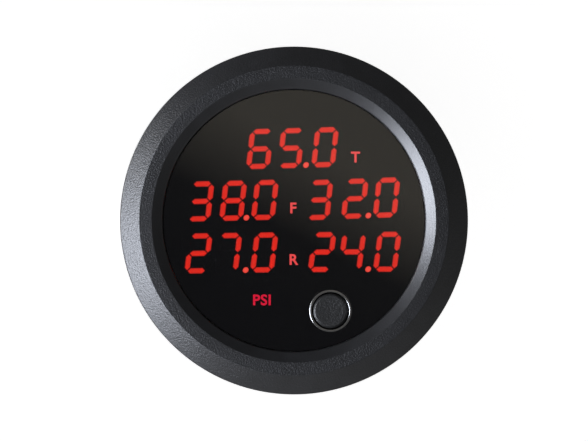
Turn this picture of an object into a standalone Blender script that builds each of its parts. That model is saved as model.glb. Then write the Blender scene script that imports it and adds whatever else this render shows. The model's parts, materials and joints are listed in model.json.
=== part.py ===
"""Tyre pressure monitor: a round gauge with a lit display, held in a panel by a strap clamp.

Frame: metres, +Z runs along the gauge's axis out of the display, +Y points to the top of the
display and +X to its right. The origin is on the axis, level with the ends of the thumb nuts.
"""
from math import cos, pi, radians, sin, sqrt

import bmesh
import bpy
from mathutils import Matrix

MM = 0.001
GAP = 0.05  # clearance between two pieces that touch, in millimetres like all sizes below

# Driving dimensions
BEZEL_RADIUS = 26.2
TOTAL_HEIGHT = 33.0
SEAT_Z = 21.6  # rear edge of the bezel, which bears on the front of the panel
REAR_Z = 8.6  # rear face of the housing
BARREL_RADIUS = 22.2
STUD_OFFSET = 17.2
THREAD_RADIUS = 1.5

# Bezel
CHAMFER_WIDTH = 3.0
CHAMFER_HEIGHT = 1.9
RIM_INNER_RADIUS = 21.25
WINDOW_RADIUS = 19.7
BEVEL_HEIGHT = 0.8
LIP_UNDERSIDE_Z = 31.5
SKIRT_BORE = 24.3
SKIRT_SHOULDER_Z = 24.0

# Display window and what lies right under it
LENS_RADIUS = 21.6
LENS_TOP_Z = 31.0
LENS_THICKNESS = 1.8
MASK_THICKNESS = 0.35
LENS_BOTTOM_Z = LENS_TOP_Z - LENS_THICKNESS
MASK_TOP_Z = LENS_BOTTOM_Z - GAP
MASK_BOTTOM_Z = MASK_TOP_Z - MASK_THICKNESS
MODULE_TOP_Z = MASK_BOTTOM_Z - GAP
MODULE_HEIGHT = 5.0
MODULE_SIZE = (15.6, 7.5)

# Where each lit block sits on the face: name, centre x, centre y
MODULES = (
    ("trailer", -0.3, 10.95),
    ("front_left", -9.3, 3.0),
    ("front_right", 9.1, 3.3),
    ("rear_left", -9.4, -4.9),
    ("rear_right", 9.15, -4.75),
)
LEGENDS = (
    ("trailer", 9.3, 9.6, 2.2),
    ("front", -0.1, 1.9, 1.8),
    ("rear", 0.0, -5.9, 1.8),
    ("unit", -4.85, -12.0, 4.6),
)
LEGEND_HEIGHT = 2.6

# Boards
DISPLAY_BOARD_TOP_Z = MODULE_TOP_Z - MODULE_HEIGHT - GAP
DISPLAY_BOARD_THICKNESS = 1.2
DISPLAY_BOARD_RADIUS = 20.4
MAIN_BOARD_BOTTOM_Z = 13.2
MAIN_BOARD_THICKNESS = 1.6
MAIN_BOARD_TOP_Z = MAIN_BOARD_BOTTOM_Z + MAIN_BOARD_THICKNESS
MAIN_BOARD_RADIUS = 20.0

# The three places where a screw runs through spacer and boards into a boss of the housing
POST_RING_RADIUS = 17.5
POST_ANGLES = (45.0, 135.0, 270.0)
POST_SCREW_RADIUS = 0.95
POST_HOLE_RADIUS = 1.1
POST_HEAD_RADIUS = 1.9
POST_HEAD_HEIGHT = 1.2
SPACER_RADIUS = 2.0
BOSS_RADIUS = 2.4

# Button
BUTTON_X, BUTTON_Y = 5.5, -13.6
BUTTON_RADIUS = 2.6
BUTTON_TOP_Z = 31.3
BUTTON_FLANGE_RADIUS = 3.2
BUTTON_HOLE_RADIUS = 3.05
TRIM_BORE = 2.82
TRIM_RADIUS = 3.2
TRIM_TOP_Z = 31.2

# Housing
BARREL_WALL = 1.5
BARREL_TOP_Z = MASK_BOTTOM_Z - GAP
FLANGE_RADIUS = 24.15
FLANGE_TOP_Z = 23.5
FLOOR_THICKNESS = 2.0
FLOOR_TOP_Z = REAR_Z + FLOOR_THICKNESS

# Clamp
STRAP_THICKNESS = 1.0
STRAP_TOP_Z = REAR_Z - GAP
STRAP_BOTTOM_Z = STRAP_TOP_Z - STRAP_THICKNESS
STRAP_HALF_WIDTH = 4.25
LEG_HALF_WIDTH = 5.25
LEG_OUTER_X = 24.5
LEG_TIP_Z = 16.4
BEND_RADIUS = 1.8
FLAT_WASHER_RADIUS = 3.25
FLAT_WASHER_THICKNESS = 0.5
LOCK_WASHER_RADIUS = 3.1
LOCK_WASHER_THICKNESS = 0.8
NUT_HEIGHT = STRAP_BOTTOM_Z - FLAT_WASHER_THICKNESS - LOCK_WASHER_THICKNESS - 3 * GAP
KNURL_RADIUS = 5.03
KNURL_DEPTH = 0.22
KNURL_TEETH = 30

# Power socket, in the rear wall on the lower side of the strap
SOCKET_Y = -11.0
SOCKET_SIZE = (9.4, 6.0)
SOCKET_WALL = 0.8
SOCKET_DEPTH = 3.4
PIN_PITCH = 2.5
PIN_WIDTH = 0.64

# Locating keyway down the top side of the barrel
KEYWAY_WIDTH = 4.4
KEYWAY_DEPTH = 0.7
RIB_WIDTH = 1.0
RIB_SINK = 0.25
BEAD_WIDTH = 0.5
BEAD_HEIGHT = 0.25

COARSE, MEDIUM, FINE = 20, 32, 64


# ---------------------------------------------------------------- helpers


def start_scene():
    for obj in list(bpy.data.objects):
        bpy.data.objects.remove(obj, do_unlink=True)
    parts = bpy.data.collections.new("tire_pressure_monitor")
    cutters = bpy.data.collections.new("cutters")
    for collection in (parts, cutters):
        bpy.context.scene.collection.children.link(collection)
    cutters.hide_render = True
    return parts, cutters


PARTS, CUTTERS = start_scene()


def make_material(name, colour, roughness, metallic=0.0):
    material = bpy.data.materials.new(name)
    material.use_nodes = True
    shader = material.node_tree.nodes["Principled BSDF"]
    shader.inputs["Base Color"].default_value = (*colour, 1.0)
    shader.inputs["Roughness"].default_value = roughness
    shader.inputs["Metallic"].default_value = metallic
    return material


ANODISED = make_material("anodised_bezel", (0.035, 0.036, 0.04), 0.45, 0.6)
HOUSING_PLASTIC = make_material("housing_plastic", (0.02, 0.02, 0.02), 0.5)
SMOKED_ACRYLIC = make_material("smoked_acrylic", (0.02, 0.02, 0.02), 0.05)
BLACK_PLASTIC = make_material("black_plastic", (0.015, 0.015, 0.015), 0.6)
BUTTON_PLASTIC = make_material("button_plastic", (0.03, 0.03, 0.03), 0.5)
CHROME = make_material("chrome", (0.8, 0.8, 0.8), 0.1, 1.0)
NICKEL = make_material("nickel_plate", (0.66, 0.65, 0.62), 0.2, 1.0)
ZINC_STEEL = make_material("zinc_steel", (0.6, 0.6, 0.6), 0.3, 1.0)
RUBBER = make_material("seal_rubber", (0.02, 0.02, 0.02), 0.8)
BOARD_GREEN = make_material("board_laminate", (0.02, 0.12, 0.05), 0.4)
BRASS = make_material("brass", (0.75, 0.55, 0.25), 0.3, 1.0)


def new_object(name, mesh, material, collection=None):
    obj = bpy.data.objects.new(name, mesh)
    (collection or PARTS).objects.link(obj)
    if material:
        mesh.materials.append(material)
    return obj


def as_mesh(obj):
    """Replaces obj by a mesh object of the same name and place, with modifiers applied and caps welded."""
    bpy.context.view_layer.update()
    name, matrix, collection = obj.name, obj.matrix_world.copy(), obj.users_collection[0]
    evaluated = obj.evaluated_get(bpy.context.evaluated_depsgraph_get())
    mesh = bpy.data.meshes.new_from_object(evaluated)
    bpy.data.objects.remove(obj, do_unlink=True)
    editable = bmesh.new()
    editable.from_mesh(mesh)
    bmesh.ops.remove_doubles(editable, verts=editable.verts, dist=1e-7)
    bmesh.ops.recalc_face_normals(editable, faces=editable.faces)
    editable.to_mesh(mesh)
    editable.free()
    mesh.shade_smooth()
    mesh.set_sharp_from_angle(angle=radians(30))
    mesh.name = name
    made = bpy.data.objects.new(name, mesh)
    made.matrix_world = matrix
    collection.objects.link(made)
    return made


def turned(name, profile, material, steps=MEDIUM, at=(0.0, 0.0), ring=True, collection=None):
    """A solid of revolution about the vertical line through at. profile lists (radius, z) down the outer side.
    A ring's profile is a closed loop; without ring it starts and ends on the axis."""
    mesh = bpy.data.meshes.new(name)
    points = [(radius * MM, 0.0, z * MM) for radius, z in profile]
    edges = [(i, i + 1) for i in range(len(points) - 1)]
    if ring:
        edges.append((len(points) - 1, 0))
    mesh.from_pydata(points, edges, [])
    obj = new_object(name, mesh, material, collection)
    obj.location = (at[0] * MM, at[1] * MM, 0.0)
    screw = obj.modifiers.new("turn", "SCREW")
    screw.steps = screw.render_steps = steps
    screw.use_merge_vertices = True
    screw.merge_threshold = 1e-7
    return as_mesh(obj)


def tube(name, outer, inner, bottom, top, material, steps=MEDIUM, at=(0.0, 0.0)):
    profile = [(inner, top), (outer, top), (outer, bottom), (inner, bottom)]
    return turned(name, profile, material, steps, at)


def rod(name, radius, bottom, top, material=None, steps=MEDIUM, at=(0.0, 0.0), collection=None):
    profile = [(0.0, top), (radius, top), (radius, bottom), (0.0, bottom)]
    return turned(name, profile, material, steps, at, ring=False, collection=collection)


def block(name, size, centre, material=None, bevel=0.0, collection=None):
    """A box with its faces along the axes; bevel rounds its edges."""
    mesh = bpy.data.meshes.new(name)
    editable = bmesh.new()
    bmesh.ops.create_cube(editable, size=1.0, matrix=Matrix.Diagonal((*[s * MM for s in size], 1.0)))
    editable.to_mesh(mesh)
    editable.free()
    obj = new_object(name, mesh, material, collection)
    obj.location = [c * MM for c in centre]
    if bevel:
        rounding = obj.modifiers.new("edges", "BEVEL")
        rounding.width = bevel * MM
        rounding.segments = 1
    return obj


TURNS = {"XY": (0, 0, 0), "XZ": (pi / 2, 0, 0), "YZ": (pi / 2, 0, pi / 2)}


def prism(name, outline, length, centre, plane="XY", material=None, collection=None):
    """A closed outline in one plane, extruded by length about centre."""
    curve = bpy.data.curves.new(name, "CURVE")
    curve.dimensions = "2D"
    curve.fill_mode = "BOTH"
    curve.extrude = length * MM / 2
    spline = curve.splines.new("POLY")
    spline.points.add(len(outline) - 1)
    for point, (u, v) in zip(spline.points, outline):
        point.co = (u * MM, v * MM, 0.0, 1.0)
    spline.use_cyclic_u = True
    obj = new_object(name, curve, material, collection)
    obj.location = [c * MM for c in centre]
    obj.rotation_euler = TURNS[plane]
    return as_mesh(obj)


def boolean(target, tool, operation="DIFFERENCE"):
    modifier = target.modifiers.new(f"{operation.lower()}_{tool.name}"[:60], "BOOLEAN")
    modifier.operation = operation
    modifier.object = tool
    tool.display_type = "WIRE"
    tool.hide_render = True
    if tool.name in PARTS.objects:
        PARTS.objects.unlink(tool)
        CUTTERS.objects.link(tool)


def arc(centre, radius, start, end, count):
    """count + 1 points along an arc; the angles are in degrees."""
    points = []
    for i in range(count + 1):
        angle = radians(start + (end - start) * i / count)
        points.append((centre[0] + radius * cos(angle), centre[1] + radius * sin(angle)))
    return points


def on_ring(radius, angle):
    return radius * cos(radians(angle)), radius * sin(radians(angle))


# ---------------------------------------------------------------- bezel, lens and seals


def make_bezel():
    crest_radius = BEZEL_RADIUS - CHAMFER_WIDTH
    corner_z = TOTAL_HEIGHT - CHAMFER_HEIGHT
    lens_pocket = LENS_RADIUS + 0.2
    barrel_bore = BARREL_RADIUS + 0.15
    pocket_z = MASK_BOTTOM_Z
    edge_break = 0.3
    profile = [
        (RIM_INNER_RADIUS, TOTAL_HEIGHT),
        (crest_radius, TOTAL_HEIGHT),
        (BEZEL_RADIUS, corner_z),
        (BEZEL_RADIUS, SEAT_Z + edge_break),
        (BEZEL_RADIUS - edge_break, SEAT_Z),
        (SKIRT_BORE, SEAT_Z),
        (SKIRT_BORE, SKIRT_SHOULDER_Z),
        (barrel_bore, SKIRT_SHOULDER_Z),
        (barrel_bore, pocket_z),
        (lens_pocket, pocket_z),
        (lens_pocket, LIP_UNDERSIDE_Z),
        (WINDOW_RADIUS, LIP_UNDERSIDE_Z),
        (WINDOW_RADIUS, TOTAL_HEIGHT - BEVEL_HEIGHT),
    ]
    turned("bezel_ring", profile, ANODISED, FINE)


def make_seals():
    gasket_inner = WINDOW_RADIUS + 0.3
    tube("lens_gasket", LENS_RADIUS, gasket_inner, LENS_TOP_Z + GAP, LIP_UNDERSIDE_Z - GAP, RUBBER)
    seal_inner = BARREL_RADIUS + 0.3
    seal_outer = SKIRT_BORE - 0.1
    tube("bezel_seal", seal_outer, seal_inner, FLANGE_TOP_Z + GAP, SKIRT_SHOULDER_Z - GAP, RUBBER)


def make_lens():
    lens = rod("lens", LENS_RADIUS, LENS_BOTTOM_Z, LENS_TOP_Z, SMOKED_ACRYLIC, FINE)
    hole = rod("lens_hole", BUTTON_HOLE_RADIUS, LENS_BOTTOM_Z - 1, LENS_TOP_Z + 1, at=(BUTTON_X, BUTTON_Y))
    boolean(lens, hole)


def make_display_mask():
    """The opaque sheet under the lens, open over each display module, legend and the button."""
    mask = rod("display_mask", LENS_RADIUS, MASK_BOTTOM_Z, MASK_TOP_Z, BLACK_PLASTIC)
    middle_z = (MASK_BOTTOM_Z + MASK_TOP_Z) / 2
    through = 2.0
    window_margin = 0.4
    for name, x, y in MODULES:
        size = (MODULE_SIZE[0] - window_margin, MODULE_SIZE[1] - window_margin, through)
        boolean(mask, block(f"window_{name}", size, (x, y, middle_z), collection=CUTTERS))
    for name, x, y, width in LEGENDS:
        size = (width - window_margin, LEGEND_HEIGHT - window_margin, through)
        boolean(mask, block(f"legend_window_{name}", size, (x, y, middle_z), collection=CUTTERS))
    hole_radius = BUTTON_FLANGE_RADIUS + 0.2
    hole = rod("mask_hole", hole_radius, MASK_BOTTOM_Z - 1, MASK_TOP_Z + 1, at=(BUTTON_X, BUTTON_Y))
    boolean(mask, hole)


# ---------------------------------------------------------------- display and boards


def make_display_modules():
    middle_z = MODULE_TOP_Z - MODULE_HEIGHT / 2
    for name, x, y in MODULES:
        size = (*MODULE_SIZE, MODULE_HEIGHT)
        block(f"display_module_{name}", size, (x, y, middle_z), BLACK_PLASTIC, bevel=0.2)
    for name, x, y, width in LEGENDS:
        size = (width, LEGEND_HEIGHT, MODULE_HEIGHT)
        block(f"legend_lamp_{name}", size, (x, y, middle_z), BLACK_PLASTIC, bevel=0.15)


def make_boards():
    display_bottom = DISPLAY_BOARD_TOP_Z - DISPLAY_BOARD_THICKNESS
    display_board = rod(
        "display_board", DISPLAY_BOARD_RADIUS, display_bottom, DISPLAY_BOARD_TOP_Z, BOARD_GREEN
    )
    main_board = rod("main_board", MAIN_BOARD_RADIUS, MAIN_BOARD_BOTTOM_Z, MAIN_BOARD_TOP_Z, BOARD_GREEN)
    for i, angle in enumerate(POST_ANGLES, 1):
        place = on_ring(POST_RING_RADIUS, angle)
        hole = rod(
            f"post_hole_{i}", POST_HOLE_RADIUS, FLOOR_TOP_Z, DISPLAY_BOARD_TOP_Z + 1, steps=COARSE, at=place
        )
        boolean(display_board, hole)
        boolean(main_board, hole)


def make_posts():
    """Three long screws clamp the display board, the spacers and the main board to the housing's bosses."""
    spacer_bottom = MAIN_BOARD_TOP_Z + GAP
    spacer_top = DISPLAY_BOARD_TOP_Z - DISPLAY_BOARD_THICKNESS - GAP
    head_bottom = DISPLAY_BOARD_TOP_Z + GAP
    head_top = head_bottom + POST_HEAD_HEIGHT
    head_rounding = 0.4
    tip_z = FLOOR_TOP_Z + 0.4
    tip_length = 0.5
    slot_size = (2.4, 0.45, 1.0)
    profile = [
        (0.0, head_top),
        (POST_HEAD_RADIUS - head_rounding, head_top),
        (POST_HEAD_RADIUS, head_top - head_rounding),
        (POST_HEAD_RADIUS, head_bottom),
        (POST_SCREW_RADIUS, head_bottom),
        (POST_SCREW_RADIUS, tip_z + tip_length),
        (0.0, tip_z),
    ]
    for i, angle in enumerate(POST_ANGLES, 1):
        place = on_ring(POST_RING_RADIUS, angle)
        spacer = (SPACER_RADIUS, POST_HOLE_RADIUS, spacer_bottom, spacer_top)
        tube(f"board_spacer_{i}", *spacer, BRASS, COARSE, place)
        screw = turned(f"board_screw_{i}", profile, ZINC_STEEL, COARSE, place, ring=False)
        boolean(screw, block(f"drive_{i}", slot_size, (*place, head_top), collection=CUTTERS))


def make_header():
    """The pin header and its socket carry the signals between the two boards."""
    x, width, length = -15.5, 2.5, 15.0
    base = MAIN_BOARD_TOP_Z + GAP
    parting = base + 2.5
    top = DISPLAY_BOARD_TOP_Z - DISPLAY_BOARD_THICKNESS - GAP
    size = (width, length, parting - base)
    block("pin_header", size, (x, 0, (base + parting) / 2), BLACK_PLASTIC, bevel=0.15)
    socket_base = parting + GAP
    size = (width, length, top - socket_base)
    block("header_socket", size, (x, 0, (socket_base + top) / 2), BLACK_PLASTIC, bevel=0.15)


def make_main_board_devices():
    base = MAIN_BOARD_TOP_Z + GAP
    for name, size, x, y, material in (
        ("microcontroller", (7.0, 7.0, 1.2), 2.5, 1.0, BLACK_PLASTIC),
        ("radio_module", (9.0, 7.0, 2.2), -8.0, 6.5, ZINC_STEEL),
        ("inductor", (5.0, 5.0, 2.8), 12.5, 2.5, BLACK_PLASTIC),
        ("voltage_regulator", (6.5, 3.5, 1.6), 5.0, 8.5, BLACK_PLASTIC),
    ):
        block(name, size, (x, y, base + size[2] / 2), material, bevel=0.15)
    can_radius, can_height = 3.1, 5.6
    rod("capacitor", can_radius, base, base + can_height, ZINC_STEEL, COARSE, (11.0, -6.5))
    sounder_radius, sounder_height, sound_hole = 4.5, 5.4, 0.8
    edge_break = 0.2
    profile = [
        (sound_hole, base + sounder_height),
        (sounder_radius - edge_break, base + sounder_height),
        (sounder_radius, base + sounder_height - edge_break),
        (sounder_radius, base),
        (sound_hole, base),
    ]
    turned("buzzer", profile, BLACK_PLASTIC, COARSE, (-8.0, -9.0))


def make_antenna():
    """A coil of spring wire lying along X on the main board."""
    turns, points_per_turn = 7, 10
    coil_radius, wire_radius, pitch = 2.1, 0.3, 1.5
    centre_y = 13.0
    centre_z = MAIN_BOARD_TOP_Z + GAP + coil_radius + wire_radius
    curve = bpy.data.curves.new("antenna_coil", "CURVE")
    curve.dimensions = "3D"
    curve.bevel_depth = wire_radius * MM
    curve.bevel_resolution = 1
    curve.use_fill_caps = True
    spline = curve.splines.new("POLY")
    count = turns * points_per_turn
    spline.points.add(count)
    for i, point in enumerate(spline.points):
        angle = 2 * pi * i / points_per_turn
        x = pitch * (i - count / 2) / points_per_turn
        y = centre_y + coil_radius * cos(angle)
        z = centre_z + coil_radius * sin(angle)
        point.co = (x * MM, y * MM, z * MM, 1.0)
    new_object("antenna_coil", curve, BRASS)


# ---------------------------------------------------------------- button and its switch


def make_button():
    place = (BUTTON_X, BUTTON_Y)
    switch_bottom = DISPLAY_BOARD_TOP_Z + GAP
    switch_top = switch_bottom + 3.5
    plunger_bottom = switch_top - 0.7
    plunger_top = switch_top + 0.75
    cap_bottom = plunger_top + GAP
    flange_top = cap_bottom + 0.5
    switch_middle = (switch_bottom + switch_top) / 2
    switch = block("tact_switch", (6.0, 6.0, 3.5), (*place, switch_middle), BLACK_PLASTIC, bevel=0.15)
    well = rod("switch_well", 1.8, plunger_bottom - 0.75, switch_top + 1, steps=COARSE, at=place)
    boolean(switch, well)
    rod("switch_plunger", 1.7, plunger_bottom, plunger_top, BUTTON_PLASTIC, COARSE, place)
    cap_profile = [
        (0.0, BUTTON_TOP_Z),
        (BUTTON_RADIUS - 0.3, BUTTON_TOP_Z),
        (BUTTON_RADIUS, BUTTON_TOP_Z - 0.3),
        (BUTTON_RADIUS, flange_top),
        (BUTTON_FLANGE_RADIUS, flange_top),
        (BUTTON_FLANGE_RADIUS, cap_bottom),
        (0.0, cap_bottom),
    ]
    turned("button_cap", cap_profile, BUTTON_PLASTIC, MEDIUM, place, ring=False)
    sleeve_outer = BUTTON_HOLE_RADIUS - GAP
    lip_bottom = LENS_TOP_Z + GAP
    trim_profile = [
        (TRIM_BORE, TRIM_TOP_Z),
        (TRIM_RADIUS - 0.08, TRIM_TOP_Z),
        (TRIM_RADIUS, TRIM_TOP_Z - 0.08),
        (TRIM_RADIUS, lip_bottom),
        (sleeve_outer, lip_bottom),
        (sleeve_outer, LENS_BOTTOM_Z),
        (TRIM_BORE, LENS_BOTTOM_Z),
    ]
    turned("button_trim_ring", trim_profile, CHROME, MEDIUM, place)


# ---------------------------------------------------------------- housing and power socket


def cut_keyway(housing):
    """A recess down the top side of the barrel, between two raised beads, with a low rib along its middle."""
    middle_z = (REAR_Z + SEAT_Z) / 2
    height = SEAT_Z - REAR_Z
    for side in (-1, 1):
        bead_x = side * (KEYWAY_WIDTH + BEAD_WIDTH) / 2
        bead_top_y = sqrt(BARREL_RADIUS**2 - bead_x**2) + BEAD_HEIGHT
        size = (BEAD_WIDTH, 1.0, height)
        centre = (bead_x, bead_top_y - size[1] / 2, middle_z + 0.6)
        boolean(housing, block(f"bead_{side}", size, centre), "UNION")
    cut_z = middle_z - 1.2
    cut_height = height + 4.0
    for side in (-1, 1):
        width = (KEYWAY_WIDTH - RIB_WIDTH) / 2
        size = (width, 2.0, cut_height)
        centre = (side * (RIB_WIDTH + width) / 2, BARREL_RADIUS - KEYWAY_DEPTH + size[1] / 2, cut_z)
        boolean(housing, block(f"channel_{side}", size, centre, collection=CUTTERS))
    size = (RIB_WIDTH + 0.2, 1.0, cut_height)
    centre = (0.0, BARREL_RADIUS - RIB_SINK + size[1] / 2, cut_z)
    boolean(housing, block("rib_top", size, centre, collection=CUTTERS))


def make_housing():
    bore = BARREL_RADIUS - BARREL_WALL
    edge_break = 0.4
    profile = [
        (0.0, FLOOR_TOP_Z),
        (bore, FLOOR_TOP_Z),
        (bore, BARREL_TOP_Z),
        (BARREL_RADIUS, BARREL_TOP_Z),
        (BARREL_RADIUS, FLANGE_TOP_Z),
        (FLANGE_RADIUS, FLANGE_TOP_Z),
        (FLANGE_RADIUS, SEAT_Z + GAP),
        (BARREL_RADIUS, SEAT_Z + GAP),
        (BARREL_RADIUS, REAR_Z + edge_break),
        (BARREL_RADIUS - edge_break, REAR_Z),
        (0.0, REAR_Z),
    ]
    housing = turned("housing", profile, HOUSING_PLASTIC, FINE, ring=False)
    boss_top = MAIN_BOARD_BOTTOM_Z - GAP
    hole_bottom = FLOOR_TOP_Z + 0.2
    root_z = FLOOR_TOP_Z - 0.5
    boss_profile = [
        (0.0, hole_bottom),
        (POST_HOLE_RADIUS, hole_bottom),
        (POST_HOLE_RADIUS, boss_top),
        (BOSS_RADIUS, boss_top),
        (BOSS_RADIUS, root_z),
        (0.0, root_z),
    ]
    for i, angle in enumerate(POST_ANGLES, 1):
        place = on_ring(POST_RING_RADIUS, angle)
        boss = turned(f"boss_{i}", boss_profile, None, COARSE, place, ring=False)
        boolean(housing, boss, "UNION")
    for side in (-1, 1):
        hole_radius = THREAD_RADIUS + 0.1
        place = (side * STUD_OFFSET, 0.0)
        hole = rod(f"stud_hole_{side}", hole_radius, REAR_Z - 1, FLOOR_TOP_Z + 1, steps=COARSE, at=place)
        boolean(housing, hole)
    opening = (SOCKET_SIZE[0] + 0.2, SOCKET_SIZE[1] + 0.2, 6.0)
    boolean(housing, block("socket_opening", opening, (0, SOCKET_Y, REAR_Z), collection=CUTTERS))
    cut_keyway(housing)


def make_power_socket():
    bottom = REAR_Z + GAP
    top = MAIN_BOARD_BOTTOM_Z - GAP
    size = (*SOCKET_SIZE, top - bottom)
    socket = block("power_socket", size, (0, SOCKET_Y, (bottom + top) / 2), BLACK_PLASTIC, bevel=0.15)
    cavity = (SOCKET_SIZE[0] - 2 * SOCKET_WALL, SOCKET_SIZE[1] - 2 * SOCKET_WALL, 2 * SOCKET_DEPTH)
    boolean(socket, block("socket_cavity", cavity, (0, SOCKET_Y, bottom), collection=CUTTERS))
    pin_bottom = bottom + 0.8
    pin_hole = PIN_WIDTH + 0.1
    for i in (1, 2, 3):
        x = (i - 2) * PIN_PITCH
        boolean(
            socket,
            block(f"pin_hole_{i}", (pin_hole, pin_hole, 6.0), (x, SOCKET_Y, top), collection=CUTTERS),
        )
        size = (PIN_WIDTH, PIN_WIDTH, top - pin_bottom)
        block(f"socket_pin_{i}", size, (x, SOCKET_Y, (top + pin_bottom) / 2), BRASS, bevel=0.12)


# ---------------------------------------------------------------- studs, clamp and nuts


def make_stud(name, x):
    """A screw with its hexagon head inside the housing and its thread standing out of the rear."""
    head_bottom = FLOOR_TOP_Z + GAP
    head_top = head_bottom + 2.0
    end_z, end_chamfer = 0.8, 0.4
    shank_radius = THREAD_RADIUS - 0.05
    profile = [
        (0.0, head_bottom + 0.5),
        (shank_radius, head_bottom + 0.5),
        (shank_radius, end_z + end_chamfer),
        (shank_radius - end_chamfer, end_z),
        (0.0, end_z),
    ]
    shank = turned(f"shank_{name}", profile, None, COARSE, (x, 0.0), ring=False)
    hexagon = arc((0.0, 0.0), 5.5 / sqrt(3), 0, 300, 5)
    centre = (x, 0.0, (head_bottom + head_top) / 2)
    head = prism(name, hexagon, head_top - head_bottom, centre, material=NICKEL)
    boolean(head, shank, "UNION")


def make_clamp_bracket():
    """A flat steel strap bent up into a wide foot at each end, with a hole for each stud."""
    inner_bend = BEND_RADIUS - STRAP_THICKNESS
    bend_x = LEG_OUTER_X - BEND_RADIUS
    bend_z = STRAP_BOTTOM_Z + BEND_RADIUS
    leg_inner_x = LEG_OUTER_X - STRAP_THICKNESS
    right_outer = arc((bend_x, bend_z), BEND_RADIUS, -90, 0, 6) + [(LEG_OUTER_X, LEG_TIP_Z)]
    right_inner = [(leg_inner_x, LEG_TIP_Z)] + arc((bend_x, bend_z), inner_bend, 0, -90, 4)
    right = right_outer + right_inner
    left = [(-x, z) for x, z in reversed(right)]
    strap = prism(
        "clamp_bracket", right + left, 2 * LEG_HALF_WIDTH, (0, 0, 0), "XZ", ZINC_STEEL
    )
    waist = [
        (STRAP_HALF_WIDTH, STRAP_BOTTOM_Z - 1),
        (LEG_HALF_WIDTH + 1, STRAP_BOTTOM_Z - 1),
        (LEG_HALF_WIDTH + 1, 12.2),
        (LEG_HALF_WIDTH, 12.2),
        (STRAP_HALF_WIDTH, 10.0),
    ]
    corner = 0.8
    tip = [
        (LEG_HALF_WIDTH + 0.5, LEG_TIP_Z - corner - 0.5),
        (LEG_HALF_WIDTH + 0.5, LEG_TIP_Z + 0.5),
        (LEG_HALF_WIDTH - corner - 0.5, LEG_TIP_Z + 0.5),
    ]
    for side in (-1, 1):
        for name, outline in (("waist", waist), ("tip", tip)):
            mirrored = [(side * y, z) for y, z in outline]
            cutter = prism(f"{name}_{side}", mirrored, 60, (0, 0, 0), "YZ", collection=CUTTERS)
            boolean(strap, cutter)
        place = (side * STUD_OFFSET, 0.0)
        hole = rod(f"strap_hole_{side}", 1.75, STRAP_BOTTOM_Z - 1, REAR_Z + 1, steps=COARSE, at=place)
        boolean(strap, hole)


def make_washers(name, x):
    bore = THREAD_RADIUS + 0.15
    flat_top = STRAP_BOTTOM_Z - GAP
    flat_bottom = flat_top - FLAT_WASHER_THICKNESS
    tube(f"flat_washer_{name}", FLAT_WASHER_RADIUS, bore, flat_bottom, flat_top, NICKEL, COARSE, (x, 0.0))
    lock_top = flat_bottom - GAP
    lock_bottom = lock_top - LOCK_WASHER_THICKNESS
    lock = tube(
        f"lock_washer_{name}", LOCK_WASHER_RADIUS, bore, lock_bottom, lock_top, NICKEL, COARSE, (x, 0.0)
    )
    split_centre = (x, -(bore + LOCK_WASHER_RADIUS) / 2, (lock_bottom + lock_top) / 2)
    split = block(f"split_{name}", (0.4, 3.0, 3.0), split_centre, collection=CUTTERS)
    split.rotation_euler = (0, radians(25), 0)
    boolean(lock, split)


def make_thumb_nut(name, x):
    """A turned nut with a knurled head, a waisted neck and a plain bore that clears the thread."""
    bore = THREAD_RADIUS + 0.03
    blank = KNURL_RADIUS + 0.3
    neck = 2.65
    shoulder = arc((neck + 1.9, 5.1), 1.9, 180, 265, 5)
    profile = [
        (bore, NUT_HEIGHT),
        (neck, NUT_HEIGHT),
        *shoulder,
        (blank, 2.75),
        (blank, 0.72),
        (4.6, 0.0),
        (bore, 0.0),
    ]
    nut = turned(name, profile, NICKEL, MEDIUM, (x, 0.0))
    outline = []
    for i in range(2 * KNURL_TEETH):
        radius = KNURL_RADIUS - (KNURL_DEPTH if i % 2 else 0.0)
        angle = pi * i / KNURL_TEETH
        outline.append((radius * cos(angle), radius * sin(angle)))
    knurl = prism(f"knurl_{name}", outline, NUT_HEIGHT + 4, (x, 0.0, NUT_HEIGHT / 2), collection=CUTTERS)
    boolean(nut, knurl, "INTERSECT")


def make_clamp():
    make_clamp_bracket()
    for side, x in (("left", -STUD_OFFSET), ("right", STUD_OFFSET)):
        make_stud(f"stud_{side}", x)
        make_washers(side, x)
        make_thumb_nut(f"thumb_nut_{side}", x)


def group(name, members, location=(0.0, 0.0, 0.0)):
    """An empty that carries the pieces that move together."""
    empty = bpy.data.objects.new(name, None)
    empty.location = [c * MM for c in location]
    PARTS.objects.link(empty)
    bpy.context.view_layer.update()
    for member in members:
        obj = bpy.data.objects[member]
        obj.parent = empty
        obj.matrix_parent_inverse = empty.matrix_world.inverted()
    return empty


def main():
    make_bezel()
    make_seals()
    make_lens()
    make_display_mask()
    make_display_modules()
    make_boards()
    make_posts()
    make_header()
    make_main_board_devices()
    make_antenna()
    make_button()
    make_housing()
    make_power_socket()
    make_clamp()
    group("button_group", ("button_cap", "switch_plunger"), (BUTTON_X, BUTTON_Y, 0.0))
    washers = [f"{kind}_washer_{side}" for kind in ("flat", "lock") for side in ("left", "right")]
    group("clamp_group", ["clamp_bracket", *washers])


main()
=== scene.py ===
"""Looks of the tyre pressure monitor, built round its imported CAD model.

Lengths here are in millimetres until they reach a mesh. +Z points out of the display, +Y to its top.
"""
import json
from math import atan2, ceil, cos, degrees, pi, radians, sin, sqrt, tan

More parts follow.
